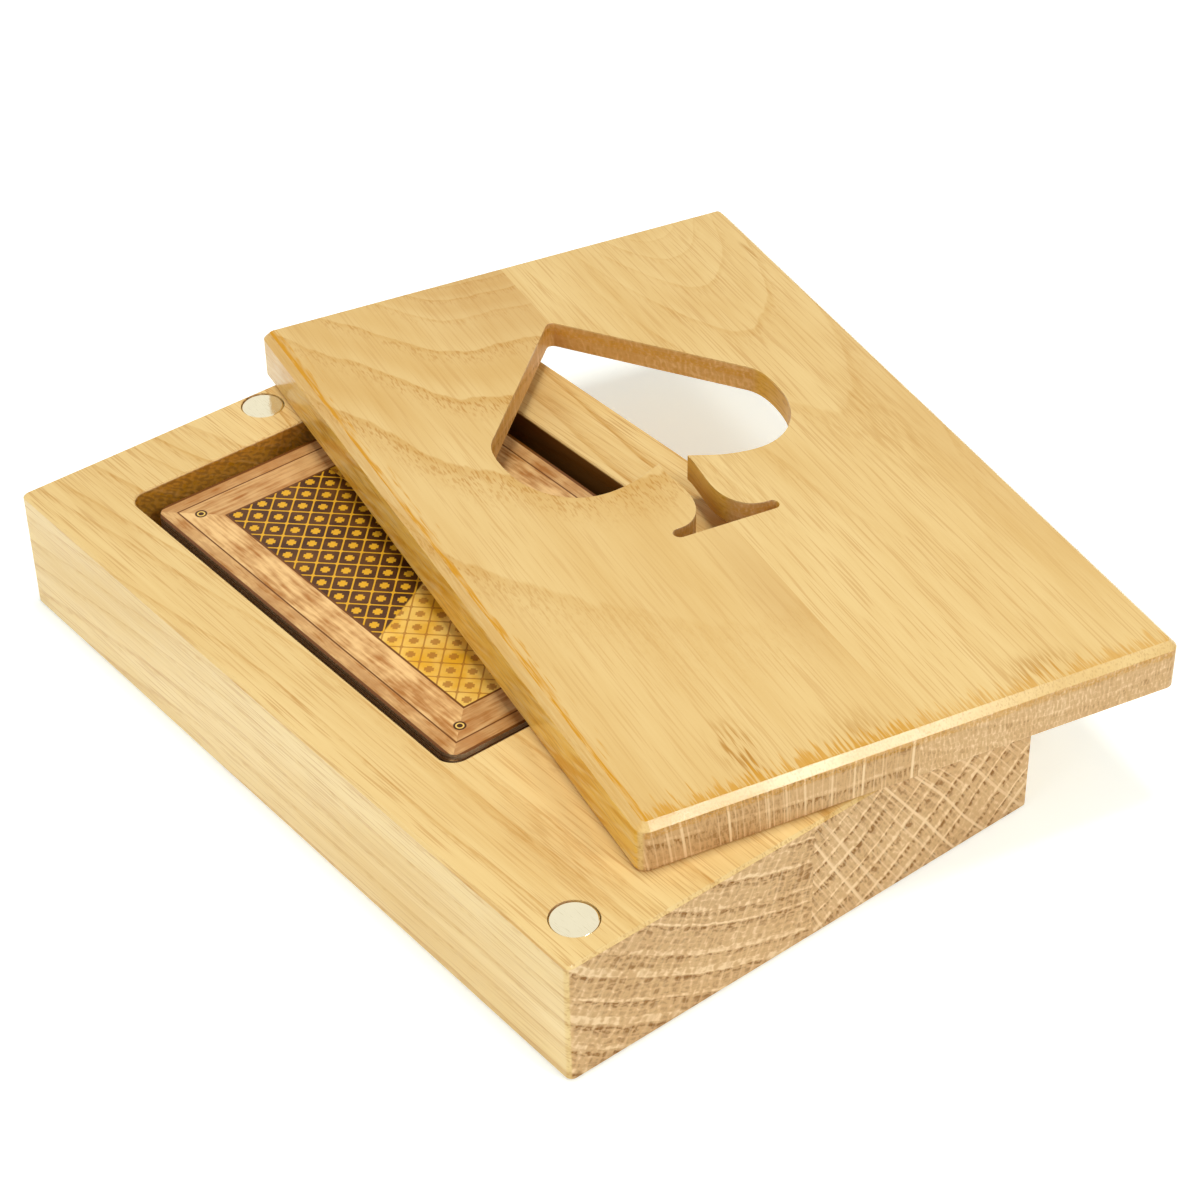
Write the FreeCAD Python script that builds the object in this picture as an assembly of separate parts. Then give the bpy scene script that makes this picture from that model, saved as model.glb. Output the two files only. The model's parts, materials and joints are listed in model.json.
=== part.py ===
import FreeCAD, Part
import math
import os

# Playing card case of edge-glued oak with a loose, magnet-held lid and a deck in its pocket.
# Millimetres, +X to the right along the front end, +Y to the back, +Z up.
# The origin is the middle of the base's underside.

Vector = FreeCAD.Vector
UP = Vector(0, 0, 1)

# Oak base and lid, one outline for both
case_width = 98.0
case_length = 156.5
base_height = 24.0
base_corner_radius = 1.2
base_edge_ease = 0.5
lid_thickness = 9.3
lid_corner_radius = 2.0
lid_top_bevel = 1.3
lid_under_ease = 0.4
cut_overrun = 5.0

# Playing cards, stacked suit by suit from the pocket's floor up
card_width = 63.5
card_length = 88.9
card_thickness = 0.3
card_corner_radius = 3.2
card_corner_facets = 6
card_counts = {
    "joker_cards": 2,
    "club_cards": 13,
    "diamond_cards": 13,
    "heart_cards": 13,
    "spade_cards": 13,
}
deck_height = card_thickness * sum(card_counts.values())

# Card pocket, milled nearer to the back of the base, and the shallow recess over it in the lid
pocket_side_room = 3.25
pocket_end_room = 3.3
pocket_headroom = 2.9
pocket_corner_radius = 3.2
pocket_rim_ease = 0.3
pocket_back_wall = 13.7
deck_back_room = 2.7
lid_recess_depth = 4.1
pocket_width = card_width + 2 * pocket_side_room
pocket_length = card_length + 2 * pocket_end_room
pocket_depth = deck_height + pocket_headroom
pocket_floor_z = base_height - pocket_depth
pocket_y = case_length / 2 - pocket_back_wall - pocket_length / 2

# Disc magnets, three in the base's top and three facing them in the lid
magnet_diameter = 7.9
magnet_thickness = 3.0
magnet_bevel = 0.35
magnet_bore_clearance = 0.1
magnet_recess = 0.1
corner_magnet_side_inset = 7.6
corner_magnet_end_inset = 7.8
back_magnet_end_inset = 4.6
magnet_places = {
    "front_left": (corner_magnet_side_inset - case_width / 2, corner_magnet_end_inset - case_length / 2),
    "front_right": (case_width / 2 - corner_magnet_side_inset, corner_magnet_end_inset - case_length / 2),
    "back": (0, case_length / 2 - back_magnet_end_inset),
}

# Spade window through the lid, upright on the glue seam
# Each outline point is a share of the half width and of the height above the foot
spade_width = 55.0
spade_height = 71.8
spade_foot_end_inset = 62.25
spade_cutter_radius = 1.25
spade_lobe_shares = [
    (0.931, 0.572),
    (1.0, 0.467),
    (0.92, 0.333),
    (0.738, 0.26),
    (0.52, 0.241),
    (0.313, 0.256),
    (0.102, 0.292),
]
spade_stem_shares = [(0.102, 0.292), (0.087, 0.188), (0.105, 0.098), (0.182, 0.053)]
spade_foot_half_share = 0.324

# Place of the lid, swung aside flat on the base about a point on the case's centre line
lid_swing_reach = 167.5
lid_open_angle = 12.8


def lies_at(edge, z):
    return all(abs(vertex.Point.z - z) < Part.Precision.confusion() for vertex in edge.Vertexes)


def edges_at(shape, z):
    return [edge for edge in shape.Edges if lies_at(edge, z)]


def rounded_slab(width, length, height, radius, x, y, z):
    slab = Part.makeBox(width, length, height, Vector(x - width / 2, y - length / 2, z))
    upright = [edge for edge in slab.Edges if not lies_at(edge, z) and not lies_at(edge, z + height)]
    return slab.makeFillet(radius, upright)


def magnet_bores(mouth_z, into):
    radius = magnet_diameter / 2 + magnet_bore_clearance
    depth = magnet_thickness + magnet_recess
    bores = []
    for x, y in magnet_places.values():
        start = Vector(x, y, mouth_z - into * cut_overrun)
        bores.append(Part.makeCylinder(radius, depth + cut_overrun, start, UP * into))
    return Part.makeCompound(bores)


def magnet(x, y, face_z, into):
    disc = Part.makeCylinder(magnet_diameter / 2, magnet_thickness, Vector(x, y, face_z), UP * into)
    rims = [edge for edge in disc.Edges if len(edge.Vertexes) == 1]
    return disc.makeChamfer(magnet_bevel, rims)


def staves(block):
    length = case_length + 2 * cut_overrun
    height = block.BoundBox.ZLength + 2 * cut_overrun
    halves = {}
    for side, x in (("left", -case_width), ("right", 0)):
        corner = Vector(x, -length / 2, block.BoundBox.ZMin - cut_overrun)
        halves[side] = block.common(Part.makeBox(case_width, length, height, corner))
    return halves


def hollowed(block, low_z, high_z):
    depth = high_z - low_z
    hollow = rounded_slab(pocket_width, pocket_length, depth, pocket_corner_radius, 0, pocket_y, low_z)
    block = block.cut(hollow)
    rim = [edge for edge in edges_at(block, base_height) if hollow.BoundBox.isInside(edge.CenterOfMass)]
    return block.makeChamfer(pocket_rim_ease, rim)


def base_block():
    block = rounded_slab(case_width, case_length, base_height, base_corner_radius, 0, 0, 0)
    block = block.makeChamfer(base_edge_ease, edges_at(block, 0) + edges_at(block, base_height))
    block = hollowed(block, pocket_floor_z, base_height + cut_overrun)
    return block.cut(magnet_bores(base_height, -1))


def spade_point(x_share, y_share):
    foot_y = spade_foot_end_inset - case_length / 2
    return Vector(x_share * spade_width / 2, foot_y + y_share * spade_height, 0)


def spline(points, first_tangent=None):
    curve = Part.BSplineCurve()
    if first_tangent is None:
        curve.interpolate(points)
    else:
        curve.interpolate(Points=points, InitialTangent=first_tangent, FinalTangent=points[-1] - points[-2])
    return curve.toShape()


def spade_outline():
    apex = spade_point(0, 1)
    lobe = [spade_point(*shares) for shares in spade_lobe_shares]
    flank = lobe[0] - apex
    half_angle = math.atan2(flank.x, -flank.y)
    tip_end = apex + flank * (spade_cutter_radius / math.tan(half_angle) / flank.Length)
    tip_top = apex - Vector(0, spade_cutter_radius / math.sin(half_angle) - spade_cutter_radius, 0)
    foot = spade_point(spade_foot_half_share, 0)
    foot_top = foot + Vector(0, 2 * spade_cutter_radius, 0)
    foot_end = foot + Vector(spade_cutter_radius, spade_cutter_radius, 0)
    stem = [spade_point(*shares) for shares in spade_stem_shares] + [foot_top]
    right_half = [
        Part.LineSegment(tip_end, lobe[0]).toShape(),
        spline(lobe, flank),
        spline(stem),
        Part.Arc(foot_top, foot_end, foot).toShape(),
        Part.LineSegment(foot, spade_point(0, 0)).toShape(),
    ]
    left_half = [edge.mirror(Vector(0, 0, 0), Vector(1, 0, 0)) for edge in right_half]
    tip_start = Vector(-tip_end.x, tip_end.y, 0)
    tip = Part.Arc(tip_start, tip_top, tip_end).toShape()
    return Part.Wire(Part.__sortEdges__(right_half + left_half + [tip]))


def lid_block():
    lid_top = base_height + lid_thickness
    block = rounded_slab(case_width, case_length, lid_thickness, lid_corner_radius, 0, 0, base_height)
    block = block.makeChamfer(lid_top_bevel, edges_at(block, lid_top))
    block = block.makeChamfer(lid_under_ease, edges_at(block, base_height))
    block = hollowed(block, base_height - cut_overrun, base_height + lid_recess_depth)
    window = Part.Face(spade_outline()).extrude(UP * (lid_thickness + 2 * cut_overrun))
    window.translate(UP * (base_height - cut_overrun))
    return block.cut(window).cut(magnet_bores(base_height, 1))


def swung(shape):
    turned = shape.copy()
    turned.rotate(Vector(0, -lid_swing_reach, 0), UP, -lid_open_angle)
    return turned


# A card's rounded corners are cut in a few flats each, because every card repeats them
def card(z):
    middle_y = case_length / 2 - pocket_back_wall - deck_back_room - card_length / 2
    centre_x = card_width / 2 - card_corner_radius
    centre_y = card_length / 2 - card_corner_radius
    outline = []
    for corner, (x_side, y_side) in enumerate(((1, 1), (-1, 1), (-1, -1), (1, -1))):
        for facet in range(card_corner_facets + 1):
            turn = (corner + facet / card_corner_facets) * math.pi / 2
            x = x_side * centre_x + card_corner_radius * math.cos(turn)
            y = y_side * centre_y + card_corner_radius * math.sin(turn)
            outline.append(Vector(x, middle_y + y, z))
    return Part.Face(Part.makePolygon(outline + outline[:1])).extrude(UP * card_thickness)


nodes = {}

for side, stave in staves(base_block()).items():
    nodes["base_" + side + "_stave"] = stave
for side, stave in staves(lid_block()).items():
    nodes["lid_" + side + "_stave"] = swung(stave)

for place, (x, y) in magnet_places.items():
    nodes["base_magnet_" + place] = magnet(x, y, base_height - magnet_recess, -1)
    nodes["lid_magnet_" + place] = swung(magnet(x, y, base_height + magnet_recess, 1))

cards_laid = 0
for suit, count in card_counts.items():
    levels = range(cards_laid, cards_laid + count)
    nodes[suit] = Part.makeCompound([card(pocket_floor_z + level * card_thickness) for level in levels])
    cards_laid += count

os.makedirs("parts", exist_ok=True)
for name, shape in nodes.items():
    shape.exportStep("parts/" + name + ".step")
    state = "valid" if shape.isValid() else "not valid"
    print(name, len(shape.Solids), "solids", round(shape.Volume, 1), "mm3", state)
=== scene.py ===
import json
import math

import bmesh
import bpy
from mathutils import Matrix, Vector


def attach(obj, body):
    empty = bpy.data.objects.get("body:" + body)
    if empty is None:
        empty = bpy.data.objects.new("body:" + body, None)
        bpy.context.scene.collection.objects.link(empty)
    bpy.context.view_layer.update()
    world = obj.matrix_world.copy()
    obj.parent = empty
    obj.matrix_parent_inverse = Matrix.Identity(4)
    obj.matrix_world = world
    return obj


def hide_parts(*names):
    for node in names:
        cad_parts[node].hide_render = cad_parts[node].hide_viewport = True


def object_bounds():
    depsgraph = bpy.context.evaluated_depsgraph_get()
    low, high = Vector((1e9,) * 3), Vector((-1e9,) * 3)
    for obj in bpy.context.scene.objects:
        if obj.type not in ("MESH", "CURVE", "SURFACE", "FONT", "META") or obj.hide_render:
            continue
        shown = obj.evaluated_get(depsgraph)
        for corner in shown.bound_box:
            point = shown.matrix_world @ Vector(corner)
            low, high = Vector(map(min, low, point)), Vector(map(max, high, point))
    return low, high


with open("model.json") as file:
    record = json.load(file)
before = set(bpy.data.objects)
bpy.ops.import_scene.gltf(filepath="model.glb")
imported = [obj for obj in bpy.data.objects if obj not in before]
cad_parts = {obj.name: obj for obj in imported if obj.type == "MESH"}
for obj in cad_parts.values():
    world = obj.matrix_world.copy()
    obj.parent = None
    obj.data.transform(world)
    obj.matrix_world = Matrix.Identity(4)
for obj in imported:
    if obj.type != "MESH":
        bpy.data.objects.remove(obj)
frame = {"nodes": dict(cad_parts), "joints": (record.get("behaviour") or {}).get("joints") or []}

mm = 0.001                                             # the looks below are written in mm
cadLow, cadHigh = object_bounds()
swing = next(joint for joint in frame["joints"] if joint["name"] == "lid_swing")
lidTurn = math.radians(swing["range_deg"][1])          # turns the lid back over the base
lidPivot = Vector(swing["pos_m"])


def nodeBox(names):                                    # low and high corner round some of the frame's nodes
    corners = [frame["nodes"][name].matrix_world @ Vector(corner) for name in names
               for corner in frame["nodes"][name].bound_box]
    low = Vector([min(corner[axis] for corner in corners) for axis in range(3)])
    high = Vector([max(corner[axis] for corner in corners) for axis in range(3)])
    return low, high


suits = ["joker_cards", "club_cards", "diamond_cards", "heart_cards", "spade_cards"]
baseLow, baseHigh = nodeBox(["base_left_stave", "base_right_stave"])
deckLow, deckHigh = nodeBox(suits)
caseHalf = (baseHigh - baseLow) / 2 / mm
deckHalf = (deckHigh - deckLow) / 2 / mm
lidTop = cadHigh.z / mm
print("frame:", len(frame["nodes"]), "nodes, lid turned", round(math.degrees(lidTurn), 1), "degrees")


class Wire:                                            # a node's socket, with arithmetic
    def __init__(self, tree, socket):
        self.tree = tree
        self.socket = socket

    def __add__(self, other):
        return self.tree.math("ADD", self, other)

    def __sub__(self, other):
        return self.tree.math("SUBTRACT", self, other)

    def __rsub__(self, other):
        return self.tree.math("SUBTRACT", other, self)

    def __mul__(self, other):
        return self.tree.math("MULTIPLY", self, other)

    def __truediv__(self, other):
        return self.tree.math("DIVIDE", self, other)

    def __pow__(self, other):
        return self.tree.math("POWER", self, other)

    def __abs__(self):
        return self.tree.math("ABSOLUTE", self)

    __radd__ = __add__

    def most(self, other):
        return self.tree.math("MAXIMUM", self, other)

    def least(self, other):
        return self.tree.math("MINIMUM", self, other)

    def whole(self):
        return self.tree.math("FLOOR", self)

    def past(self):                                    # what is left past the whole number
        return self.tree.math("FRACT", self)

    def step(self, low, high):                         # smooth step from 0 at low to 1 at high
        return self.tree.node("ShaderNodeMapRange", {"interpolation_type": "SMOOTHSTEP"},
                              {"Value": self, "From Min": low, "From Max": high})

    def swell(self, rise, fall):                       # up over the first stretch, down over the second
        return self.step(*rise) * (1 - self.step(*fall))

    def band(self, low, high, soft):                   # 1 between low and high
        return self.swell((low - soft, low), (high, high + soft))


class Tree:                                            # a node tree that nodes are added to
    def __init__(self, nodeTree):
        self.nodeTree = nodeTree

    def node(self, kind, settings, sockets, out=0):
        made = self.nodeTree.nodes.new(kind)
        for name, value in settings.items():
            setattr(made, name, value)
        for name, value in sockets.items():
            if isinstance(value, Wire):
                self.nodeTree.links.new(value.socket, made.inputs[name])
            else:
                made.inputs[name].default_value = value
        return Wire(self, made.outputs[out]) if made.outputs else made

    def math(self, operation, *values):
        return self.node("ShaderNodeMath", {"operation": operation}, dict(enumerate(values)))


def rgba(colour):                                      # colours are written as seen on screen, 0 to 255
    if isinstance(colour, Wire):
        return colour
    shown = [part / 255 for part in colour]
    return [part / 12.92 if part < 0.04045 else ((part + 0.055) / 1.055) ** 2.4 for part in shown] + [1.0]


class Finish(Tree):                                    # a material
    def __init__(self, name):
        self.material = bpy.data.materials.new(name)
        self.material.use_nodes = True
        Tree.__init__(self, self.material.node_tree)
        self.nodeTree.nodes.clear()

    def coords(self, kind="Object"):
        return self.node("ShaderNodeTexCoord", {}, {}, kind)

    def inMillimetres(self, vector, shift=(0, 0, 0), turn=0.0):
        return self.node("ShaderNodeMapping", {}, {"Vector": vector, "Location": shift,
                                                   "Rotation": (0, 0, turn), "Scale": [1 / mm] * 3})

    def noise(self, vector, size, seed=0.0, detail=1.0, out=0):    # size: length of the grain along x, y, z
        scale = [1 / length for length in size]
        shift = (seed, seed * 1.7, seed * 2.3)
        stretched = self.node("ShaderNodeMapping", {}, {"Vector": vector, "Scale": scale, "Location": shift})
        return self.node("ShaderNodeTexNoise", {}, {"Vector": stretched, "Scale": 1.0, "Detail": detail}, out)

    def chance(self, number):                          # a random share, the same for the same number
        return self.node("ShaderNodeTexWhiteNoise", {"noise_dimensions": "1D"}, {"W": number})

    def mix(self, factor, first, second):
        sockets = {0: factor, 6: rgba(first), 7: rgba(second)}
        return self.node("ShaderNodeMix", {"data_type": "RGBA"}, sockets, 2)

    def split(self, vector):
        return [self.node("ShaderNodeSeparateXYZ", {}, {0: vector}, axis) for axis in range(3)]

    def joined(self, x, y, z):
        return self.node("ShaderNodeCombineXYZ", {}, {0: x, 1: y, 2: z})

    def bump(self, height, strength, depth):
        sockets = {"Strength": strength, "Distance": depth * mm, "Height": height}
        return self.node("ShaderNodeBump", {}, sockets)

    def shown(self, shader):
        self.node("ShaderNodeOutputMaterial", {}, {"Surface": shader})
        return self.material

    def surface(self, sockets):
        return self.shown(self.node("ShaderNodeBsdfPrincipled", {}, sockets))


oakLook = {
    "palest": (238, 207, 142),
    "tan": (214, 171, 98),
    "brown": (186, 132, 52),
    "pore": (178, 114, 24),
    "shade": (200, 154, 88),
    "gold": (210, 146, 12),
    # painted golden bounce light on the lid's sides
    "paintedBounce": (246, 196, 50),
    # painted shade inside the pocket
    "milled": (104, 60, 2),
    "endPale": (246, 212, 163),
    "endTan": (214, 171, 118),
    "endBrown": (142, 93, 32),
    "roughness": 0.36,
    "endRoughness": 0.5,
    "poreRoughness": 0.1,
    "specular": 0.12,
    "coatRoughness": 0.12,
    "coatLost": {"ends": 0.85, "top": 0.8},            # the oil's shine sinks into end grain and broad faces
    "coatTop": (0.85, 0.98),
    "coatMottle": 0.6,
    "coatPatches": (0.36, 0.6),
    "coatShare": {"patches": 0.6, "all": 0.45},
    "relief": {"fibre": 0.2, "pores": 0.5, "ends": 0.2},
    "bump": 0.2,
    "bumpDepth": 0.2,
}
# pith: centre of the growth rings; apex: tip of the grain's arches
# shades and marks: x, y, half sizes, strength
staves = {
    "base_left_stave": {
        "slot": "base_oak_left", "seed": 3.1, "pith": (23.6, 102.0), "ring": 4.2,
        "tone": 0.2, "bands": 0.55, "pores": 0.6, "streaks": 0.85, "coat": 0.42,
        "fleck": 18, "poreLength": 3.0, "tickWide": 1.5, "tickDeep": 0.6,
        "cellWide": 2.1, "cellDeep": 1.15, "cells": 0.62, "rays": 0.4, "rayReach": 3.0,
        "endGrain": 0.85, "endBase": 0.42, "endDark": 1.15, "endEdge": 0.1, "endLight": 0.5,
        # the shade at (-33, -58) and the last mark at (-34, -58) are painted shadow and golden bounce light
        # beside the resting lid
        "shades": [(-33, -58, 8, 20, 0.25)],
        "marks": [(-20.7, 71.5, 0.7, 5, 0.6), (-34, -58, 7, 18, 0.4)]},
    "base_right_stave": {
        "slot": "base_oak_right", "seed": 8.4, "pith": (-71.0, 140.0), "ring": 4.0,
        "tone": 0.1, "bands": 0.9, "pores": 0.5, "streaks": 1.0, "coat": 0.42,
        "fleck": 18, "poreLength": 4.0, "tickWide": 0.5, "tickDeep": 1.6,
        "cellWide": 1.5, "cellDeep": 1.1, "cells": 0.45, "rays": 1.0, "rayReach": 40.0,
        "endGrain": 0.85, "endBase": 0.41, "endDark": 1.5, "endEdge": 0.15, "endLight": 0.5,
        "shades": [(40, 50, 6, 26, 0.3)],
        "marks": []},
    "lid_left_stave": {
        "slot": "lid_oak_left", "seed": 14.2, "apex": (-7.0, 90.0), "arch": 0.027, "ring": 4.5,
        "tone": 0.0, "bands": 1.0, "pores": 0.75, "streaks": 0.42, "coat": 0.5,
        "fleck": 9, "poreLength": 1.8, "tickWide": 0.45, "tickDeep": 1.6,
        "cellWide": 0.8, "cellDeep": 1.0, "cells": 0.3, "rays": 1.3, "rayReach": 40.0,
        "endGrain": 0.7, "endBase": 0.38, "endDark": 0.9, "endEdge": 0.15, "endLight": 0.28,
        "fringe": 1.0, "slantMarks": 1.0,
        "shades": [(-4, 74, 26, 42, 0.4), (-3, -36, 7, 30, 0.3)],
        "marks": [(-27, -69, 5, 11, 0.95), (-9, -73, 9, 7, 0.45), (-9, 73, 13, 9, 0.25)]},
    "lid_right_stave": {
        "slot": "lid_oak_right", "seed": 21.7, "apex": (32.0, 90.0), "arch": 0.15, "ring": 4.5,
        "tone": 0.1, "bands": 0.4, "pores": 0.8, "streaks": 0.6, "coat": 0.5,
        "fleck": 9, "poreLength": 4.0, "tickWide": 0.4, "tickDeep": 1.2,
        "cellWide": 0.85, "cellDeep": 1.1, "cells": 0.45, "rays": 0.3, "rayReach": 6.0,
        "endGrain": 0.9, "endBase": 0.57, "endDark": 0.6, "endEdge": 0.1, "endLight": 0.15,
        "fringe": 0.7, "slantMarks": 0.0,
        "shades": [(46, -10, 9, 60, 0.2)],
        "marks": [(45.5, 60, 0.9, 6, 0.8), (25, -73, 10, 6, 0.6), (38, -4, 9, 30, 0.3), (8, -2, 7, 34, 0.2)]},
}
grainLayers = {                                        # length along x, y, z or the stave's own, seed, detail
    "sway": ((26, 60, 26), 0, 1.0),
    "baseWobble": ((3, 26, 3), 2, 3.0),
    "lidWobble": ((3, 26, 3), 2, 2.0),
    "fibre": ((0.45, "fleck", 0.45), 0, 2.0),
    "streak": ((3.0, 90, 3.0), 5, 2.0),
    "mottle": ((14, 45, 14), 7, 1.0),
    "speck": ((0.34, "poreLength", 0.34), 9, 1.0),
    "strokes": ((0.36, 6, 0.36), 11, 1.0),
    "ticks": (("tickWide", 6, "tickDeep"), 17, 0.0),
    "hairs": ((0.3, 13, 0.3), 19, 0.0),
    "broken": ((1.4, 30, "rayReach"), 23, 0.0),
    "jitter": ((1.6, 40, 1.6), 29, 1.0),
    "blotch": ((8, 9, 4), 31, 2.0),
    "paleSlant": ((3, 5, 2), 37, 1.0),
}
ringShape = {                                          # where in a ring each part rises and falls, 0 to 1
    "early": ((0.0, 0.04), (0.12, 0.42)),              # open, porous spring growth
    "thinLine": ((0.0, 0.03), (0.06, 0.15)),
    "late": ((0.8, 0.87), (0.95, 1.0)),
    "dusk": ((0.1, 0.5), (0.6, 1.0)),
}
baseRings = {"sway": 3, "wobble": 0.9, "bowFrom": 5, "bowPower": 1.3, "bow": 0.03, "slope": 0.01,
             "unevenLength": 7, "uneven": 1.1}
lidRings = {"sway": 22, "sideSway": 2, "wobble": 0.8, "nearest": 2.0, "crowding": 2.38, "offset": 0.4,
            "fan": 0.004, "frontFade": (-40, 5), "frontShare": 0.15, "backFade": (44, 62), "backLoss": 0.4}
pocketMask = {"half": (35.1, 47.85), "middle": 16.8, "soft": 0.2, "height": (4.6, 23.3), "heightSoft": 0.6}
windowMask = {"margin": (2.5, 2.75), "soft": 0.4, "below": (0.5, 0.1), "level": (0.5, 0.9)}
longLook = {
    "streak": 1.2, "fibre": 0.7, "mottle": 0.8, "middle": 0.55, "toneRange": (-0.3, 1.25),
    "faintestRing": 0.5, "early": 0.4, "thinLine": 0.5, "dusk": 0.5, "duskFade": (15, 55), "lineDark": 0.4,
    "pores": (0.5, 0.68), "hairs": 0.75, "hairCut": (0.55, 0.72),
    "shadeCore": 0.1, "markCore": 0.2, "markStrokes": (0.42, 0.66),
}
edgeLook = {
    "margin": (0.6, 1.3), "sideways": 1.4, "strokes": 4, "start": 0.7, "fade": 0.26, "range": (0.0, 0.8),
    "onTop": 0.45, "everywhere": 0.25, "top": (0.75, 0.95),
    # the fade and the share on the next line set the painted golden bounce light on the lid's sides
    "bounceFade": 0.8, "bounceFadeFrom": (58, 70), "bounceShare": 0.5, "bounceBelow": (0.35, 0.75), "upright": (0.3, 0.6),
    "paleStrokes": 0.5, "paleCut": (0.5, 0.7), "fibreBelow": (0.3, 0.9), "fibreCut": (0.5, 0.68),
    "slant": 3.5, "blotch": 0.7, "blotchCut": (0.44, 0.64), "paleSlant": 0.6, "paleSlantCut": (0.52, 0.72),
    "rim": (0.9, 1.7, 0.6), "rimWander": 1.2, "rimCut": (0.35, 0.6), "rimStrokes": 0.5, "rimShare": 0.3,
}
endLook = {
    "facing": (0.72, 0.9), "facingInside": (0.25, 0.6), "facingSide": (0.3, 0.6),
    "rays": {"spacing": 3.6, "width": 0.28}, "fineRays": {"spacing": 1.4, "width": 0.16},
    "rayWander": 0.6, "rayFaintest": 0.4, "rayCore": 0.4, "raySeed": 40,
    "fineShift": 1.7, "fineSeed": 3, "fineShare": 0.5, "brokenCut": (0.3, 0.46), "jitter": (1.4, 1.2),
    "speck": 0.25, "fibre": 0.3, "mottle": 0.9, "ticks": 0.3, "ticksMean": 0.4, "tickCut": (0.4, 0.66),
    "lateUnbroken": 0.25, "early": 0.6, "tickLoss": 0.7, "leastTone": 0.6, "springPatches": (0.25, 0.6),
    "springSolid": 0.5, "darkRange": (-0.25, 0.45), "lightRange": (0.45, 1.15),
    "strip": (2.3, 1.3, 0.5), "stripCut": (0.3, 0.6), "stripGold": 0.45,
    # painted shade and painted golden bounce light on the pocket's walls, painted golden bounce light on the
    # window's walls
    "wallBounceGold": 0.78, "sideShade": 0.93, "endShade": 0.07, "tickShade": 0.4, "windowBounceGold": 0.45,
}
cellLook = {"tone": 0.35, "beside": 0.6, "besideCut": (0.5, 0.95), "above": 0.35, "aboveCut": (0.55, 1.0),
            "dark": 0.3}


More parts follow.
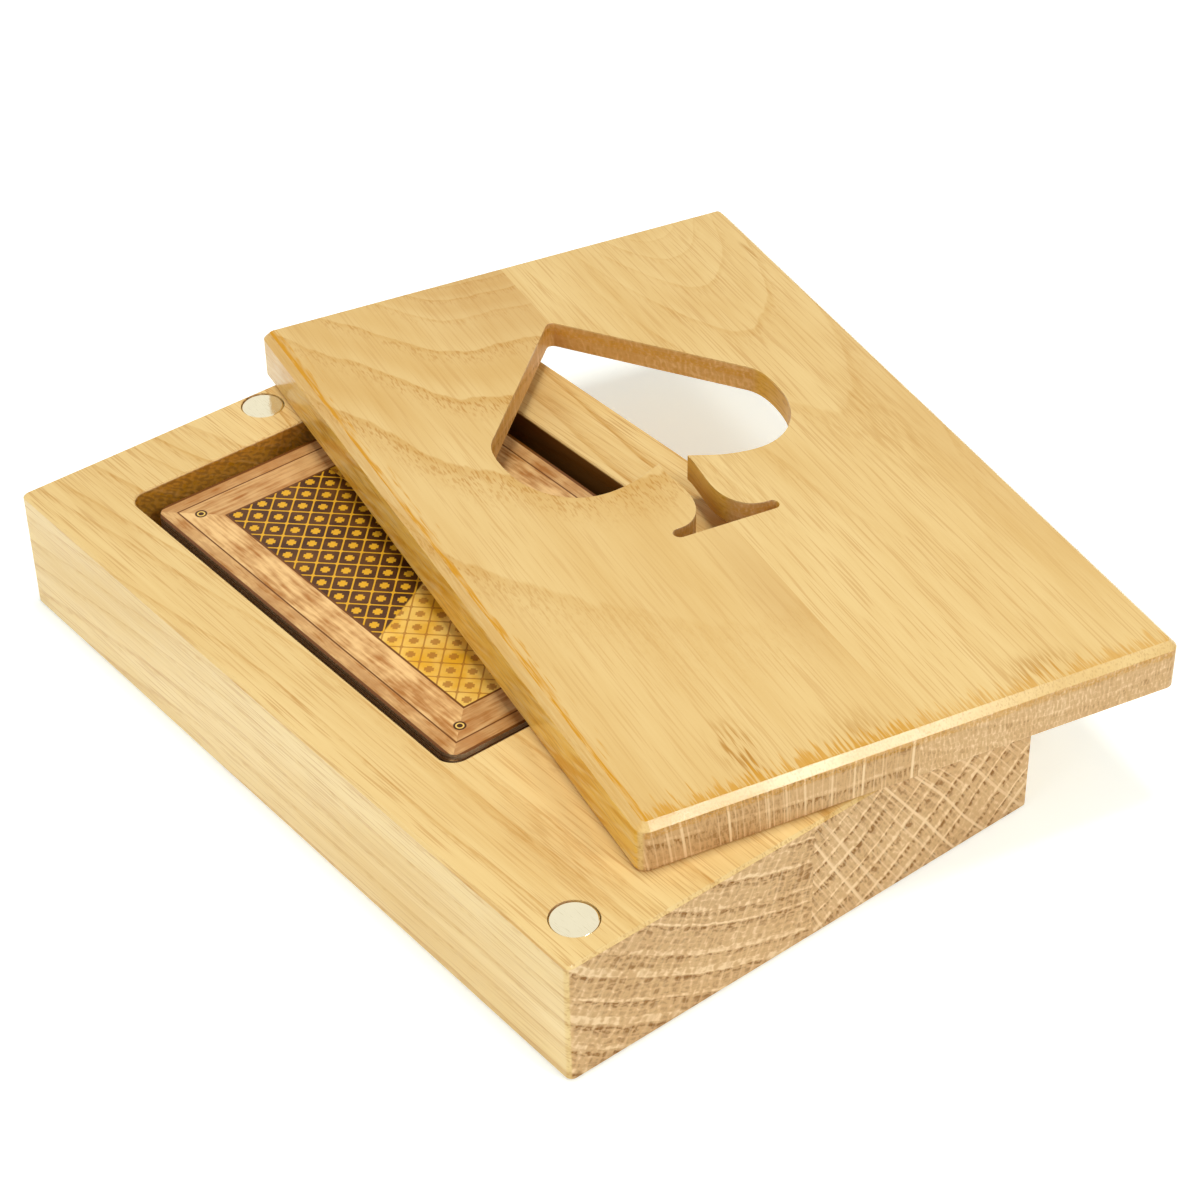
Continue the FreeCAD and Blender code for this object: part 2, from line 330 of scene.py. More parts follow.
class Oak(Finish):                                     # the oak of one stave, laid out on the closed case
    def __init__(self, name, stave, turn):
        Finish.__init__(self, name + "_oak")
        self.stave = stave
        self.onLid = "apex" in stave
        pivot = lidPivot / mm
        shift = pivot - Matrix.Rotation(turn, 3, "Z") @ pivot
        self.place = self.inMillimetres(self.coords(), shift, turn)
        self.x, self.y, self.z = self.split(self.place)
        self.setRings()
        self.setGrain()
        self.setFaces(turn)

    def layer(self, name, place=None, out=0):
        lengths, seed, detail = grainLayers[name]
        lengths = [self.stave.get(length, length) for length in lengths]
        return self.noise(place or self.place, lengths, self.stave["seed"] + seed, detail, out)

    def roundPith(self, sway):                         # rings round a pith above the block
        pithX, pithZ = self.stave["pith"]
        across = self.x - pithX + (sway[0] - 0.5) * baseRings["sway"]
        bow = (self.y - baseRings["bowFrom"]).most(0.0) ** baseRings["bowPower"] * baseRings["bow"]
        down = self.z - pithZ + bow + self.y * baseRings["slope"] + (sway[1] - 0.5) * baseRings["sway"]
        wobble = (self.layer("baseWobble") - 0.5) * baseRings["wobble"]
        self.radius = (across * across + down * down) ** 0.5 + wobble
        depth = self.radius / baseRings["unevenLength"] + self.stave["seed"]
        uneven = self.node("ShaderNodeTexNoise", {"noise_dimensions": "1D"}, {"W": depth, "Scale": 1.0})
        self.phase = self.radius / self.stave["ring"] + uneven * baseRings["uneven"]
        self.around = self.math("ARCTAN2", across, down * -1) * pithZ
        self.ringFade = 1.0

    def underArches(self, sway):                       # rings cut along the board, as fading arches
        apexX, apexY = self.stave["apex"]
        across = self.x - apexX
        along = apexY - self.y + across * across * self.stave["arch"] + (sway[0] - 0.5) * lidRings["sway"]
        self.radius = lidTop - self.z + (self.layer("lidWobble") - 0.5) * lidRings["wobble"]
        crowded = self.math("LOGARITHM", along.most(lidRings["nearest"]), math.e) * lidRings["crowding"]
        self.phase = crowded + self.radius / self.stave["ring"] + lidRings["offset"]
        self.around = self.x + self.radius * across * lidRings["fan"] + (sway[1] - 0.5) * lidRings["sideSway"]
        front = self.y.step(*lidRings["frontFade"]) * (1 - lidRings["frontShare"]) + lidRings["frontShare"]
        self.ringFade = front * (1 - self.y.step(*lidRings["backFade"]) * lidRings["backLoss"])

    def setRings(self):
        sway = self.split(self.layer("sway", self.place, "Color"))          # slow wander of the grain
        if self.onLid:
            self.underArches(sway)
        else:
            self.roundPith(sway)
        self.ringShare = self.phase.past()
        self.ringTone = self.chance(self.phase.whole() + self.stave["seed"])
        self.early = self.ringShare.swell(*ringShape["early"])
        self.thinLine = self.ringShare.swell(*ringShape["thinLine"])
        faintest = longLook["faintestRing"]
        self.rows = (self.ringTone * (1 - faintest) + faintest) * self.stave["bands"] * self.ringFade

    def setGrain(self):
        self.fibre = self.layer("fibre")
        self.mottle = self.layer("mottle")
        self.speck = self.layer("speck")
        self.strokes = self.layer("strokes")
        self.pores = self.speck.step(*longLook["pores"])
        self.polar = self.joined(self.around, self.y, self.radius)
        self.ticks = self.layer("ticks", self.polar).step(*endLook["tickCut"])

    def inPocket(self):
        halfX, halfY = pocketMask["half"]
        across = 1 - abs(self.x).step(halfX, halfX + pocketMask["soft"])
        along = 1 - abs(self.y - pocketMask["middle"]).step(halfY, halfY + pocketMask["soft"])
        return across * along * self.z.band(*pocketMask["height"], pocketMask["heightSoft"])

    def inWindow(self):
        halfX = caseHalf.x - windowMask["margin"][0]
        halfY = caseHalf.y - windowMask["margin"][1]
        across = 1 - abs(self.x).step(halfX, halfX + windowMask["soft"])
        along = 1 - abs(self.y).step(halfY, halfY + windowMask["soft"])
        under = 1 - self.z.step(*[lidTop - depth for depth in windowMask["below"]])
        return across * along * under * (1 - self.upward.step(*windowMask["level"]))

    def setFaces(self, turn):                          # which way a face looks, and where it is
        normal = self.coords("Normal")
        axis = Matrix.Rotation(-turn, 3, "Z") @ Vector((0, 1, 0))
        facing = self.node("ShaderNodeVectorMath", {"operation": "DOT_PRODUCT"},
                           {0: normal, 1: axis}, "Value")
        self.endways = abs(facing)
        self.upward = abs(self.split(normal)[2])
        self.inside = self.inWindow() if self.onLid else self.inPocket()
        cutInside = self.endways.step(*endLook["facingInside"]) * self.inside
        self.end = self.endways.step(*endLook["facing"]).most(cutInside)

    def spot(self, centreX, centreY, halfX, halfY, core):                   # an oval, fading from its core
        reach = (((self.x - centreX) / halfX) ** 2 + ((self.y - centreY) / halfY) ** 2) ** 0.5
        return 1 - reach.step(core, 1.0)

    def longGrain(self):
        look = longLook
        streaks = self.stave["streaks"]
        tone = ((self.layer("streak") - 0.5) * look["streak"] + (self.fibre - 0.5) * look["fibre"]) * streaks
        tone = tone + (self.mottle - 0.5) * look["mottle"] + look["middle"] + self.stave["tone"]
        tone = tone - self.early * self.rows * look["early"] - self.thinLine * self.rows * look["thinLine"]
        if self.onLid:                                 # soft dusky bands between the arches
            dusk = self.ringShare.swell(*ringShape["dusk"]) * self.y.step(*look["duskFade"])
            tone = tone - dusk * self.rows * look["dusk"]
        wood = self.mix(tone.step(*look["toneRange"]), oakLook["tan"], oakLook["palest"])
        wood = self.mix(self.pores * self.early * self.rows * self.stave["pores"], wood, oakLook["pore"])
        if not self.onLid:
            wood = self.mix(self.thinLine * self.rows * look["lineDark"] * self.mottle, wood, oakLook["pore"])
        hairs = self.layer("hairs").step(*look["hairCut"])
        wood = self.mix(hairs * self.mottle * look["hairs"] * streaks, wood, oakLook["pore"])
        for *oval, strength in self.stave["shades"]:
            wood = self.mix(self.spot(*oval, look["shadeCore"]) * strength, wood, oakLook["shade"])
        for *oval, strength in self.stave["marks"]:
            mark = self.spot(*oval, look["markCore"]) * self.strokes.step(*look["markStrokes"])
            wood = self.mix(mark * strength, wood, oakLook["brown"])
        return self.edgesAndPaintedBounce(wood) if self.onLid else wood

    def edgesAndPaintedBounce(self, wood):                        # golden fringe and rim along the lid's edges; painted golden bounce light on its sides, standing for warm light off the base's top
        look = edgeLook
        inX = self.x + (caseHalf.x - look["margin"][0])
        inY = self.y + (caseHalf.y - look["margin"][1])
        inset = inY.least(inX * look["sideways"])
        fringe = (self.strokes - 0.5) * look["strokes"] + look["start"] - inset * look["fade"]
        fringe = fringe.step(*look["range"]) * self.stave["fringe"]
        beside = 1 - self.endways.step(*endLook["facingSide"])
        onTop = self.upward.step(*look["top"])
        wood = self.mix(fringe * beside * (onTop * look["onTop"] + look["everywhere"]), wood, oakLook["gold"])
        # painted golden bounce light on the lid's sides, weaker towards the back end, where the side stands
        # out past the base
        bounceFade = 1 - self.y.step(*look["bounceFadeFrom"]) * look["bounceFade"]
        paintedBounce = (1 - self.upward.step(*look["bounceBelow"])) * beside * bounceFade
        wood = self.mix(paintedBounce * look["bounceShare"], wood, oakLook["paintedBounce"])
        upright = 1 - self.upward.step(*look["upright"])
        pale = upright * self.strokes.step(*look["paleCut"])
        wood = self.mix(pale * look["paleStrokes"], wood, oakLook["palest"])
        fibres = (1 - self.upward.step(*look["fibreBelow"])) * self.fibre.step(*look["fibreCut"])
        wood = self.mix(fibres * self.mottle * bounceFade, wood, oakLook["brown"])
        slanted = self.joined(self.x, self.y + self.z * look["slant"], self.z)
        blotch = self.layer("blotch", slanted).step(*look["blotchCut"]) * paintedBounce
        wood = self.mix(blotch * look["blotch"] * self.stave["slantMarks"], wood, oakLook["gold"])
        # pale slanted strokes on the upright faces
        paleSlant = self.layer("paleSlant", slanted).step(*look["paleSlantCut"]) * upright
        wood = self.mix(paleSlant * look["paleSlant"] * self.stave["slantMarks"], wood, oakLook["palest"])
        rim = (self.x + caseHalf.x + (self.mottle - 0.5) * look["rimWander"]).band(*look["rim"]) * onTop
        stroked = self.strokes.step(*look["rimCut"]) * look["rimStrokes"] + look["rimShare"]
        return self.mix(rim * stroked, wood, oakLook["gold"])

    def rayLines(self, around, spacing, width, seed):  # thin lines across the rings, unevenly set
        gap = around / spacing
        number = gap.whole()
        wander = endLook["rayWander"]
        faintest = endLook["rayFaintest"]
        middle = self.chance(number + seed) * wander + (1 - wander) / 2
        strength = self.chance(number + (seed + endLook["raySeed"])) * (1 - faintest) + faintest
        away = abs(gap.past() - middle) * spacing
        return (1 - away.step(width * endLook["rayCore"], width)) * strength

    def cells(self, around, radius):                   # rows of small blocks between thin pale lines
        seed = self.stave["seed"]
        row = radius / self.stave["cellDeep"]
        block = around / self.stave["cellWide"] + self.chance(row.whole() + seed)
        corner = self.joined(row.whole(), block.whole(), seed)
        tone = self.node("ShaderNodeTexWhiteNoise", {"noise_dimensions": "3D"}, {"Vector": corner})
        beside = (abs(block.past() - 0.5) * 2).step(*cellLook["besideCut"]) * cellLook["beside"]
        above = (abs(row.past() - 0.5) * 2).step(*cellLook["aboveCut"]) * cellLook["above"]
        return (tone - 0.5) * cellLook["tone"] + beside + above - cellLook["dark"]

    def endGrain(self):
        look = endLook
        stave = self.stave
        fineSeed = stave["seed"] + look["fineSeed"]
        rays = self.rayLines(self.around, **look["rays"], seed=stave["seed"]) * stave["rays"]
        fineRays = self.rayLines(self.around + look["fineShift"], **look["fineRays"], seed=fineSeed)
        rays = rays + fineRays * stave["rays"] * look["fineShare"]
        broken = self.layer("broken", self.polar).step(*look["brokenCut"])
        jitter = self.split(self.layer("jitter", self.polar, "Color"))
        around = self.around + (jitter[0] - 0.5) * look["jitter"][0]
        radius = self.radius + (jitter[1] - 0.5) * look["jitter"][1]
        grain = (self.speck - 0.5) * look["speck"] + (self.fibre - 0.5) * look["fibre"]
        grain = grain + (self.mottle - 0.5) * look["mottle"]
        grain = grain + (self.ticks - look["ticksMean"]) * look["ticks"]
        grain = grain + self.cells(around, radius) * stave["cells"]
        late = self.ringShare.swell(*ringShape["late"]) * stave["endLight"]
        tone = grain * stave["endGrain"] + stave["endBase"]
        tone = tone + late * (broken * (1 - look["lateUnbroken"]) + look["lateUnbroken"])
        spring = self.early * look["early"] + self.thinLine * stave["endEdge"]
        spring = spring * (1 - self.ticks * look["tickLoss"])
        spring = spring * (self.ringTone * (1 - look["leastTone"]) + look["leastTone"])
        spring = spring * self.mottle.step(*look["springPatches"])
        solid = look["springSolid"]
        tone = tone - spring * stave["endDark"] * (self.pores * (1 - solid) + solid)
        lighter = self.mix(tone.step(*look["lightRange"]), oakLook["endTan"], oakLook["endPale"])
        wood = self.mix(tone.step(*look["darkRange"]), oakLook["endBrown"], lighter)
        wood = self.mix((rays * broken).least(1.0), wood, oakLook["endPale"])
        if self.onLid:                                 # oil along the top edge of the ends
            low, high, soft = look["strip"]
            strip = self.z.band(lidTop - low, lidTop - high, soft) * self.strokes.step(*look["stripCut"])
            wood = self.mix(strip * look["stripGold"], wood, oakLook["gold"])
        return wood

    def cutWalls(self, wood):                          # painted shade and painted golden bounce light on the pocket's walls, a little painted golden bounce light on the window's walls
        look = endLook
        if self.onLid:
            return self.mix(self.inside * look["windowBounceGold"], wood, oakLook["gold"])
        # painted golden bounce light on the pocket's end walls, then painted shade over all its walls
        wood = self.mix(self.inside * self.end * look["wallBounceGold"], wood, oakLook["gold"])
        lost = self.end * (look["sideShade"] - look["endShade"] - self.ticks * look["tickShade"])
        return self.mix(self.inside * (look["sideShade"] - lost), wood, oakLook["milled"])

    def oilCoat(self):                                 # oil lies thicker here and there
        lost = oakLook["coatLost"]
        coat = (1 - self.end * lost["ends"]) * (1 - self.inside)
        coat = coat * (1 - self.upward.step(*oakLook["coatTop"]) * lost["top"])
        cloudy = oakLook["coatMottle"]
        patches = (self.mottle * cloudy + self.strokes * (1 - cloudy)).step(*oakLook["coatPatches"])
        share = oakLook["coatShare"]
        return coat * self.stave["coat"] * (patches * share["patches"] + share["all"])

    def finished(self):
        openPores = self.pores * self.early
        colour = self.cutWalls(self.mix(self.end, self.longGrain(), self.endGrain()))
        roughness = oakLook["roughness"] + self.end * (oakLook["endRoughness"] - oakLook["roughness"])
        roughness = roughness + openPores * oakLook["poreRoughness"]
        relief = oakLook["relief"]
        height = self.fibre * relief["fibre"] - openPores * relief["pores"]
        height = height + self.speck * self.end * relief["ends"]
        return self.surface({"Base Color": colour, "Roughness": roughness,
                             "Normal": self.bump(height, oakLook["bump"], oakLook["bumpDepth"]),
                             "Specular IOR Level": oakLook["specular"], "Coat Weight": self.oilCoat(),
                             "Coat Roughness": oakLook["coatRoughness"]})


staveEase = {"width": 0.22, "segments": 2, "seamMargin": 0.02, "weld": 0.002,
             "flat": 0.5, "sharp": 28, "crease": 40}   # the last three in degrees


def newPiece(name, data):
    piece = bpy.data.objects.new(name, data)
    bpy.context.scene.collection.objects.link(piece)
    return piece


def evenNormals(piece):                                # broad faces stay flat beside the eased edges
    even = piece.modifiers.new("even", "WEIGHTED_NORMAL")
    even.keep_sharp = True


def easedCopy(nodeName, seamPoint, seamNormal):
    mesh = bmesh.new()
    mesh.from_mesh(frame["nodes"][nodeName].data)
    bmesh.ops.remove_doubles(mesh, verts=mesh.verts, dist=staveEase["weld"] * mm)
    flat = math.radians(staveEase["flat"])
    bmesh.ops.dissolve_limit(mesh, angle_limit=flat, verts=mesh.verts, edges=mesh.edges)
    weights = mesh.edges.layers.float.new("bevel_weight_edge")
    for edge in mesh.edges:
        offSeam = [abs((vert.co - seamPoint).dot(seamNormal)) for vert in edge.verts]
        onSeam = max(offSeam) < staveEase["seamMargin"] * mm
        sharp = len(edge.link_faces) == 2 and edge.calc_face_angle() > math.radians(staveEase["sharp"])
        edge[weights] = 1.0 if sharp and not onSeam else 0.0
    for face in mesh.faces:
        face.smooth = True
    data = bpy.data.meshes.new(nodeName + "_oak")
    mesh.to_mesh(data)
    mesh.free()
    data.materials.clear()
    data.set_sharp_from_angle(angle=math.radians(staveEase["crease"]))
    piece = newPiece(nodeName + "_oak", data)
    ease = piece.modifiers.new("ease", "BEVEL")
    ease.width = staveEase["width"] * mm
    ease.segments = staveEase["segments"]
    ease.limit_method = "WEIGHT"
    weld = piece.modifiers.new("weld", "WELD")
    weld.merge_threshold = staveEase["weld"] * mm
    evenNormals(piece)
    return piece


for name, stave in staves.items():
    body = name.split("_")[0]
    turn = lidTurn if body == "lid" else 0.0
    seamNormal = Matrix.Rotation(-turn, 3, "Z") @ Vector((1, 0, 0))
    piece = easedCopy(name, lidPivot if turn else Vector((0, 0, 0)), seamNormal)
    piece.data.materials.append(Oak(name, stave, turn).finished())
    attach(piece, body)
    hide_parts(name)
print("oak staves:", len(staves))


def geometryTree(name, sizes):                         # sizes: the tree's named inputs
    group = bpy.data.node_groups.new(name, "GeometryNodeTree")
    group.interface.new_socket("Geometry", in_out="INPUT", socket_type="NodeSocketGeometry")
    for label, value in sizes.items():
        kind = "NodeSocketInt" if isinstance(value, int) else "NodeSocketFloat"
        group.interface.new_socket(label, in_out="INPUT", socket_type=kind)
    group.interface.new_socket("Geometry", in_out="OUTPUT", socket_type="NodeSocketGeometry")
    tree = Tree(group)
    source = group.nodes.new("NodeGroupInput")
    return tree, {socket.name: Wire(tree, socket) for socket in source.outputs if socket.name}


def grow(piece, tree, geometry, sizes):                # runs the tree on the piece and keeps the plain mesh
    tree.node("NodeGroupOutput", {}, {"Geometry": geometry})
    grower = piece.modifiers.new(tree.nodeTree.name, "NODES")
    grower.node_group = tree.nodeTree
    for item in tree.nodeTree.interface.items_tree:
        if item.name in sizes:
            grower[item.identifier] = sizes[item.name]
    made = bpy.data.meshes.new_from_object(piece.evaluated_get(bpy.context.evaluated_depsgraph_get()))
    made.name = piece.name
    piece.modifiers.remove(grower)
    piece.data = made


magnetLook = {
    "nickel": (244, 234, 202),
    "scuffed": (222, 210, 176),
    "roughness": 0.12,
    "scuffRoughness": 0.12,
    "cloud": ((3.0, 3.0, 3.0), 2.0, 2.0),              # size, seed, detail
    "cloudShare": 0.3,
    "scuff": ((0.15, 2.2, 1.0), 6.0, 2.0),
    "scuffCut": (0.55, 0.8),
    "scuffShare": 0.6,
    "scuffRelief": 0.1,
    "bump": 0.15,
    "bumpDepth": 0.2,
    "edge": 0.35,
    "edgeSegments": 3,
    "edgeAngle": 50,                                   # degrees
    "sides": 72,
    "places": ("front_left", "front_right", "back"),
}


def nickelFinish():
    nickel = Finish("nickel_plate")
    place = nickel.inMillimetres(nickel.coords())
    cloud = nickel.noise(place, *magnetLook["cloud"])
    scuffs = nickel.noise(place, *magnetLook["scuff"]).step(*magnetLook["scuffCut"])
    dull = scuffs * magnetLook["scuffShare"] + cloud * magnetLook["cloudShare"]
    colour = nickel.mix(dull, magnetLook["nickel"], magnetLook["scuffed"])
    height = cloud + scuffs * magnetLook["scuffRelief"]
    bump = nickel.bump(height, magnetLook["bump"], magnetLook["bumpDepth"])
    return nickel.surface({"Base Color": colour, "Metallic": 1.0, "Normal": bump,
                           "Roughness": magnetLook["roughness"] + scuffs * magnetLook["scuffRoughness"]})


def discs(piece, boxes, nickel):                       # a disc on each of the piece's points
    low, high = boxes[0]
    sizes = {"Radius": (high.x - low.x) / 2, "Thickness": high.z - low.z, "Sides": magnetLook["sides"]}
    tree, given = geometryTree(piece.name, sizes)
    disc = tree.node("GeometryNodeMeshCylinder", {}, {"Vertices": given["Sides"], "Radius": given["Radius"],
                                                      "Depth": given["Thickness"]})
    placed = tree.node("GeometryNodeInstanceOnPoints", {}, {"Points": given["Geometry"], "Instance": disc})
    plain = tree.node("GeometryNodeRealizeInstances", {}, {"Geometry": placed})
    plated = tree.node("GeometryNodeSetMaterial", {}, {"Geometry": plain, "Material": nickel})
    grow(piece, tree, plated, sizes)


def easedRim(piece):
    edgeAngle = math.radians(magnetLook["edgeAngle"])
    for face in piece.data.polygons:
        face.use_smooth = True
    piece.data.set_sharp_from_angle(angle=edgeAngle)
    rim = piece.modifiers.new("rim", "BEVEL")
    rim.width = magnetLook["edge"] * mm
    rim.segments = magnetLook["edgeSegments"]
    rim.limit_method = "ANGLE"
    rim.angle_limit = edgeAngle
    evenNormals(piece)


nickel = nickelFinish()
for body in ("base", "lid"):
    names = [body + "_magnet_" + place for place in magnetLook["places"]]
    boxes = [nodeBox([name]) for name in names]
    data = bpy.data.meshes.new(body + "_magnets")
    data.from_pydata([(low + high) / 2 for low, high in boxes], [], [])
    piece = newPiece(body + "_magnets", data)
    discs(piece, boxes, nickel)
    easedRim(piece)
    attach(piece, body)
    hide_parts(*names)
print("magnets:", len(magnetLook["places"]), "in the base and in the lid")


cardLook = {
    "count": 54,
    "corner": 3.2,
    "cornerFlats": 8,
    "thickness": 0.94,                                 # share of a card's room in the pile
    "weld": 0.001,
    "shuffle": 0.12,
    "seed": 7,
    "stock": (230, 210, 172),
    "stockDark": (202, 170, 122),
    "stockFibre": ((0.8, 0.8, 0.12), 1.0, 2.0),        # size, seed, detail
    "stockCut": (0.3, 0.75),
    "stockRoughness": 0.55,
    "line": (112, 64, 14),
    "copper": (226, 168, 88),
    "copperDark": (160, 94, 32),
    "copperPale": (250, 210, 146),
    "umber": (68, 36, 10),
    "umberPale": (104, 64, 24),
    "gold": (230, 172, 40),
    "goldPale": (246, 204, 104),
    "band": (0.5, 3.0, 9.2),                           # depths of the frame's lines from the edge
    "rules": {"outer": 0.2, "inner": 0.3, "edge": 0.15, "soft": 0.1},
    "pin": {"reach": (1.0, 1.2), "ring": (0.55, 0.7, 0.1)},
    "lattice": 5.2,
    "lineCut": (0.05, 0.11),
    "dotCut": (0.16, 0.24),
    "petalCut": ((0.72, 0.8), (0.5, 0.6)),
    "patternOnGold": 0.7,
    "darkClouds": (0.3, 0.75),
    "goldClouds": (0.3, 0.7),
    "quarterSlope": 0.5,
    "quarterSoft": 0.2,
    "mitreSoft": 0.05,
    "brushUp": ((0.7, 7, 1), 3.0, 3.0),
    "brushAcross": ((7, 0.7, 1), 5.0, 3.0),
    "brushCut": (0.45, 0.6),
    "polish": {"brush": 0.7, "cloud": 0.5, "dark": 0.1, "range": (0.28, 0.66)},
    "copperShare": {"plain": 0.2, "across": 0.35, "edge": 0.5},
    "cloud": ((5, 5, 1), 8.0, 3.0),
    "weave": ((0.25, 0.25, 1), 11.0, 0.0),
    "roughness": 0.4,
    "specular": 0.25,
    "bump": 0.08,
    "bumpDepth": 0.1,
}


def stockFinish():
    stock = Finish("card_stock")
    fibres = stock.noise(stock.inMillimetres(stock.coords()), *cardLook["stockFibre"])
    colour = stock.mix(fibres.step(*cardLook["stockCut"]), cardLook["stockDark"], cardLook["stock"])
    return stock.surface({"Base Color": colour, "Roughness": cardLook["stockRoughness"]})


def copperBorder(back, place, upright, depth, cloud):  # brushed along each side of the card
    look = cardLook
    share = look["copperShare"]
    polish = look["polish"]
    edgeLine, outer = look["band"][:2]
    brushUp = back.noise(place, *look["brushUp"])
    brushAcross = back.noise(place, *look["brushAcross"])
    brush = brushUp * upright + brushAcross * (1 - upright)
    shine = (brush * polish["brush"] + cloud * polish["cloud"] - polish["dark"]).step(*polish["range"])
    copper = back.mix(shine, look["copperDark"], look["copperPale"])
    copper = back.mix(share["plain"], copper, look["copper"])
    copper = back.mix((1 - upright) * share["across"], copper, look["copperDark"])
    outerStrip = depth.band(edgeLine, outer, look["rules"]["soft"]) * brush.step(*look["brushCut"])
    return back.mix(outerStrip * share["edge"], copper, look["copperDark"])


def latticePanel(back, u, v, cloud):                   # two dark and two golden quarters under a lattice
    look = cardLook
    first = abs(((u + v) / look["lattice"] + 0.5).past() - 0.5) * 2
    second = abs(((u - v) / look["lattice"] + 0.5).past() - 0.5) * 2
    lines = 1 - first.least(second).step(*look["lineCut"])
    dots = 1 - ((first * first + second * second) ** 0.5).step(*look["dotCut"])
    petals = first.most(second).step(*look["petalCut"][0]) * first.least(second).step(*look["petalCut"][1])
    pattern = (lines + dots + petals).least(1.0)
    dark = back.mix(cloud.step(*look["darkClouds"]), look["umber"], look["umberPale"])
    bright = back.mix(cloud.step(*look["goldClouds"]), look["gold"], look["goldPale"])
    dark = back.mix(pattern, dark, look["gold"])
    bright = back.mix(pattern * look["patternOnGold"], bright, look["copperDark"])
    quarter = (v - u * look["quarterSlope"]) * back.math("SIGN", u)
    return back.mix(quarter.step(-look["quarterSoft"], look["quarterSoft"]), dark, bright)


def backFinish():
    back = Finish("card_back")
    printed = back.node("ShaderNodeAttribute", {"attribute_name": "printed"}, {}, "Vector")
    place = back.inMillimetres(printed)
    u, v = back.split(place)[:2]
    sideDepth = deckHalf.x - abs(u)
    endDepth = deckHalf.y - abs(v)
    depth = sideDepth.least(endDepth)
    upright = (endDepth - sideDepth).step(-cardLook["mitreSoft"], cardLook["mitreSoft"])
    edgeLine, outer, inner = cardLook["band"]
    rule = cardLook["rules"]
    cloud = back.noise(place, *cardLook["cloud"])
    border = copperBorder(back, place, upright, depth, cloud)
    colour = back.mix(depth.step(inner, inner + rule["edge"]), border, latticePanel(back, u, v, cloud))
    outerRule = depth.band(outer, outer + rule["outer"], rule["soft"])
    innerRule = depth.band(inner, inner + rule["inner"], rule["soft"])
    edgeRule = 1 - depth.step(edgeLine, edgeLine + rule["edge"])
    colour = back.mix(outerRule.most(innerRule).most(edgeRule), colour, cardLook["line"])
    pinAcross = sideDepth - (outer + inner) / 2
    pinAlong = endDepth - (outer + inner) / 2
    pin = (pinAcross * pinAcross + pinAlong * pinAlong) ** 0.5              # a ringed dot in each corner
    colour = back.mix(1 - pin.step(*cardLook["pin"]["reach"]), colour, cardLook["umber"])
    colour = back.mix(pin.band(*cardLook["pin"]["ring"]), colour, cardLook["goldPale"])
    weave = back.noise(place, *cardLook["weave"])
    return back.surface({"Base Color": colour, "Roughness": cardLook["roughness"],
                         "Normal": back.bump(weave, cardLook["bump"], cardLook["bumpDepth"]),
                         "Specular IOR Level": cardLook["specular"]})


def oneCard(tree, given):                              # remembers where it is printed, however it lies
    outline = tree.node("GeometryNodeCurvePrimitiveQuadrilateral", {},
                        {"Width": given["Width"], "Height": given["Length"]})
    outline = tree.node("GeometryNodeFilletCurve", {"mode": "POLY"},
                        {"Curve": outline, "Count": cardLook["cornerFlats"], "Radius": given["Corner"]})
    flat = tree.node("GeometryNodeFillCurve", {"mode": "NGONS"}, {"Curve": outline})
    thickness = given["Pitch"] * cardLook["thickness"]
    raised = tree.node("GeometryNodeExtrudeMesh", {},
                       {"Mesh": flat, "Offset Scale": thickness, "Individual": False})
    under = tree.node("GeometryNodeFlipFaces", {}, {"Mesh": flat})
    join = tree.node("GeometryNodeJoinGeometry", {}, {"Geometry": raised})
    tree.nodeTree.links.new(under.socket, join.socket.node.inputs["Geometry"])
    card = tree.node("GeometryNodeMergeByDistance", {}, {"Geometry": join, "Distance": cardLook["weld"] * mm})
    position = tree.node("GeometryNodeInputPosition", {}, {})
    return tree.node("GeometryNodeStoreNamedAttribute", {"data_type": "FLOAT_VECTOR", "domain": "POINT"},
                     {"Geometry": card, "Name": "printed", "Value": position})


def pileOf(tree, given, card):                         # each card lies a little astray
    rise = tree.node("ShaderNodeCombineXYZ", {}, {2: given["Pitch"]})
    places = tree.node("GeometryNodeMeshLine", {},
                       {"Count": given["Count"], "Start Location": (0, 0, 0), "Offset": rise})
    furthest = tree.node("ShaderNodeCombineXYZ", {}, {0: given["Shuffle"], 1: given["Shuffle"]})
    opposite = tree.node("ShaderNodeVectorMath", {"operation": "SCALE"}, {0: furthest, "Scale": -1.0})
    astray = tree.node("FunctionNodeRandomValue", {"data_type": "FLOAT_VECTOR"},
                       {0: opposite, 1: furthest, "Seed": cardLook["seed"]})
    places = tree.node("GeometryNodeSetPosition", {}, {"Geometry": places, "Offset": astray})
    cards = tree.node("GeometryNodeInstanceOnPoints", {}, {"Points": places, "Instance": card})
    return tree.node("GeometryNodeRealizeInstances", {}, {"Geometry": cards})


def printedPile(tree, cards):                          # plain stock, with a printed back on every upper face
    cards = tree.node("GeometryNodeSetMaterial", {}, {"Geometry": cards, "Material": stockFinish()})
    normal = tree.node("GeometryNodeInputNormal", {}, {})
    upward = tree.node("ShaderNodeVectorMath", {"operation": "DOT_PRODUCT"},
                       {0: normal, 1: (0, 0, 1)}, "Value")
    return tree.node("GeometryNodeSetMaterial", {}, {"Geometry": cards, "Material": backFinish(),
                                                     "Selection": tree.math("GREATER_THAN", upward, 0.5)})


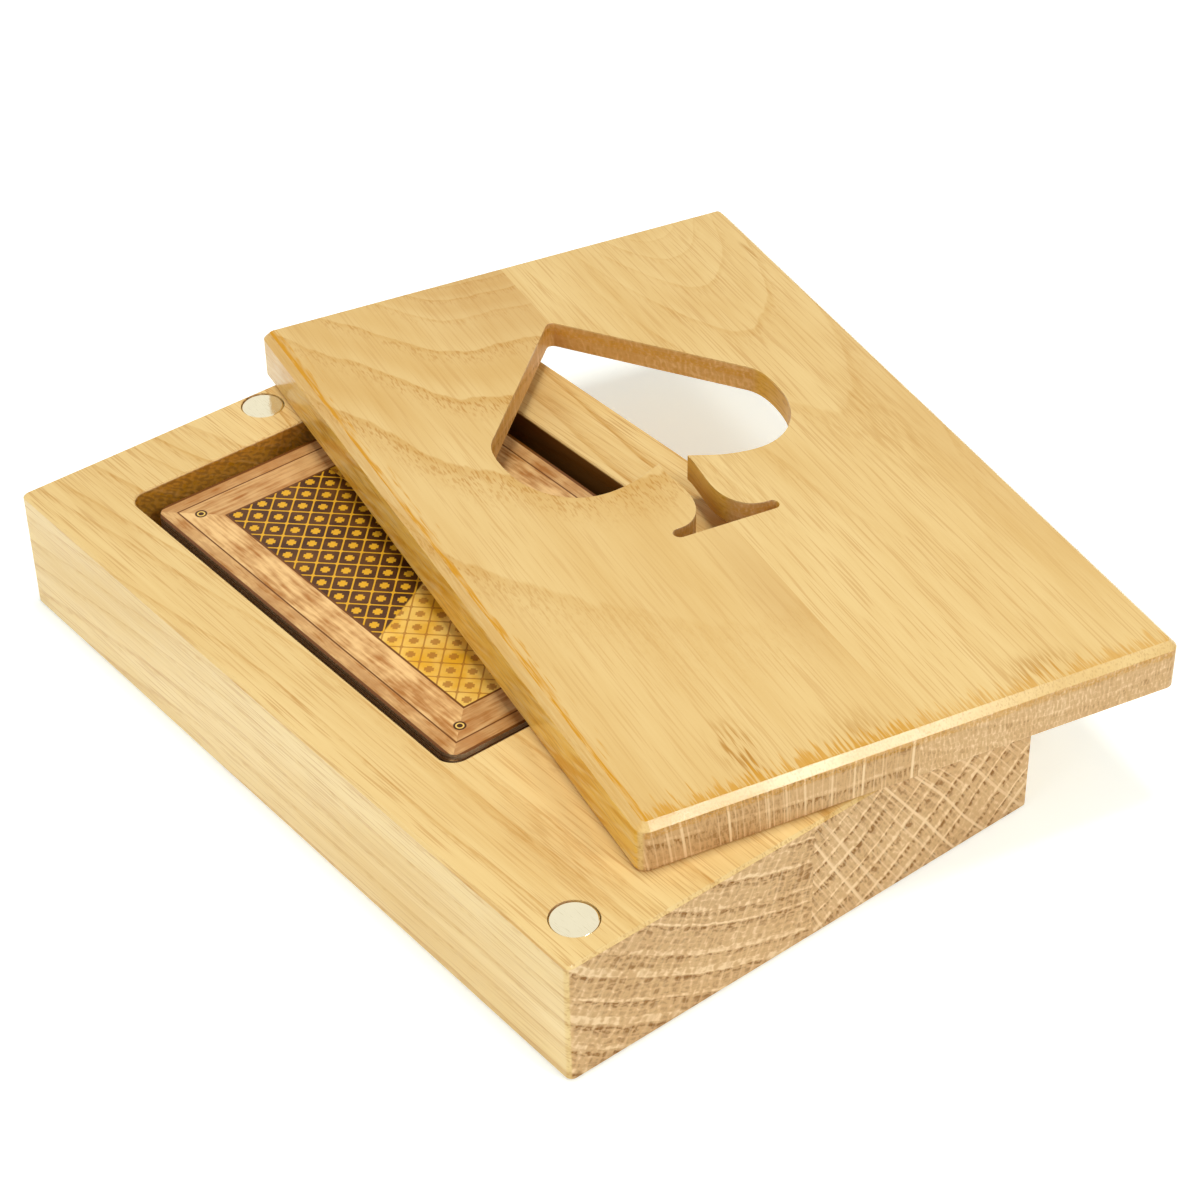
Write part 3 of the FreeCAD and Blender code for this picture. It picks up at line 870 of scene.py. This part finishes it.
sizes = {
    "Width": deckHigh.x - deckLow.x,
    "Length": deckHigh.y - deckLow.y,
    "Corner": cardLook["corner"] * mm,
    "Pitch": (deckHigh.z - deckLow.z) / cardLook["count"],
    "Count": cardLook["count"],
    "Shuffle": cardLook["shuffle"] * mm,
}
deck = newPiece("deck_cards", bpy.data.meshes.new("deck_cards"))
tree, given = geometryTree("deck_cards", sizes)
middle = (deckLow + deckHigh) / 2
foot = (middle.x, middle.y, deckLow.z)
cards = pileOf(tree, given, oneCard(tree, given))
cards = tree.node("GeometryNodeTransform", {}, {"Geometry": cards, "Translation": foot})
grow(deck, tree, printedPile(tree, cards), sizes)
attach(deck, "deck")
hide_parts(*suits)
print("deck:", cardLook["count"], "cards,", len(deck.data.polygons), "faces")


stageLook = {
    "size": 4.0,                                       # m
    "drop": 0.1,
    "floorWhite": (0.83, 0.90, 0.88),
    "floorGlow": 0.42,
    "farGlow": 0.35,
    "farFrom": (0.3, 1.2),                             # m
    "ambient": 0.35,
}
floorLevel = cadLow.z - stageLook["drop"] * mm


def seenRays(tree):                                    # 1 where it is looked at, straight or mirrored
    rays = [tree.node("ShaderNodeLightPath", {}, {}, ray)
            for ray in ("Is Camera Ray", "Is Glossy Ray", "Is Transmission Ray")]
    return rays[0].most(rays[1]).most(rays[2])


def stageFloor():
    half = stageLook["size"] / 2
    corners = [(-half, -half), (half, -half), (half, half), (-half, half)]
    data = bpy.data.meshes.new("floor")
    data.from_pydata([(x, y, floorLevel) for x, y in corners], [], [(0, 1, 2, 3)])
    floor = newPiece("floor", data)
    paper = Finish("floor_paper")
    diffuse = paper.node("ShaderNodeBsdfDiffuse", {}, {"Color": (*stageLook["floorWhite"], 1)})
    away = paper.node("ShaderNodeVectorMath", {"operation": "LENGTH"}, {0: paper.coords()}, "Value")
    glowing = away.step(*stageLook["farFrom"]) * stageLook["farGlow"] + stageLook["floorGlow"]
    strength = seenRays(paper) * glowing
    glow = paper.node("ShaderNodeEmission", {}, {"Color": (1, 1, 1, 1), "Strength": strength})
    data.materials.append(paper.shown(paper.node("ShaderNodeAddShader", {}, {0: diffuse, 1: glow})))


def stageWorld():                                      # a white tent that lights less than it shows
    world = bpy.data.worlds.new("tent")
    world.use_nodes = True
    tree = Tree(world.node_tree)
    world.node_tree.nodes.clear()
    strength = seenRays(tree) * (1 - stageLook["ambient"]) + stageLook["ambient"]
    tent = tree.node("ShaderNodeBackground", {}, {"Color": (1, 1, 1, 1), "Strength": strength})
    tree.node("ShaderNodeOutputWorld", {}, {"Surface": tent})
    bpy.context.scene.world = world


lamps = {                                              # way to the lamp, size in m, share of full light
    "overhead": {"towards": (0.0, 0.0, 1.0), "size": 0.3, "share": 0.48, "mirrored": False},
    "bevelKey": {"towards": (0.175, -0.735, 0.655), "size": 0.22, "share": 0.23, "mirrored": True},
    "leftFill": {"towards": (-0.9, -0.1, 0.45), "size": 0.6, "share": 0.26, "mirrored": False},
}
lampDistance = 1.0                                     # m
lightTable = {"size": 1.2, "strength": 0.28}           # light coming up off the floor, size in m


def stageLamps():
    middle = (cadLow + cadHigh) / 2
    for name, lamp in lamps.items():
        data = bpy.data.lights.new(name, "AREA")
        data.shape = "DISK"
        data.size = lamp["size"]
        data.energy = lamp["share"] * math.pi ** 2 * lampDistance ** 2
        towards = Vector(lamp["towards"]).normalized()
        light = newPiece(name, data)
        light.location = middle + towards * lampDistance
        light.rotation_euler = towards.to_track_quat("Z", "Y").to_euler()
        light.visible_glossy = lamp["mirrored"]
    data = bpy.data.lights.new("lightTable", "AREA")
    data.size = lightTable["size"]
    data.energy = lightTable["strength"] * math.pi * lightTable["size"] ** 2
    light = newPiece("lightTable", data)
    light.location = (0, 0, (floorLevel + cadLow.z) / 2)
    light.rotation_euler = (math.pi, 0, 0)
    light.visible_camera = False


shot = {                                               # fitted to the photo; place in mm
    "lens": 88.46,
    "sensor": 36.0,
    "near": 0.01,                                      # m
    "place": (-236.03, -322.44, 330.01),
    "right": (0.77509, -0.63168, -0.01468),
    "down": (-0.39548, -0.46688, -0.79096),
}


def stageCamera():
    data = bpy.data.cameras.new("camera")
    data.lens = shot["lens"]
    data.sensor_width = shot["sensor"]
    data.clip_start = shot["near"]
    camera = newPiece("camera", data)
    right = Vector(shot["right"]).normalized()
    back = right.cross(-Vector(shot["down"])).normalized()
    camera.matrix_world = Matrix((right, back.cross(right), back)).transposed().to_4x4()
    camera.location = Vector(shot["place"]) * mm
    bpy.context.scene.camera = camera


stageFloor()
stageWorld()
stageLamps()
stageCamera()
bpy.context.scene.view_settings.view_transform = "Standard"
print("stage: floor, world, lamps and camera")
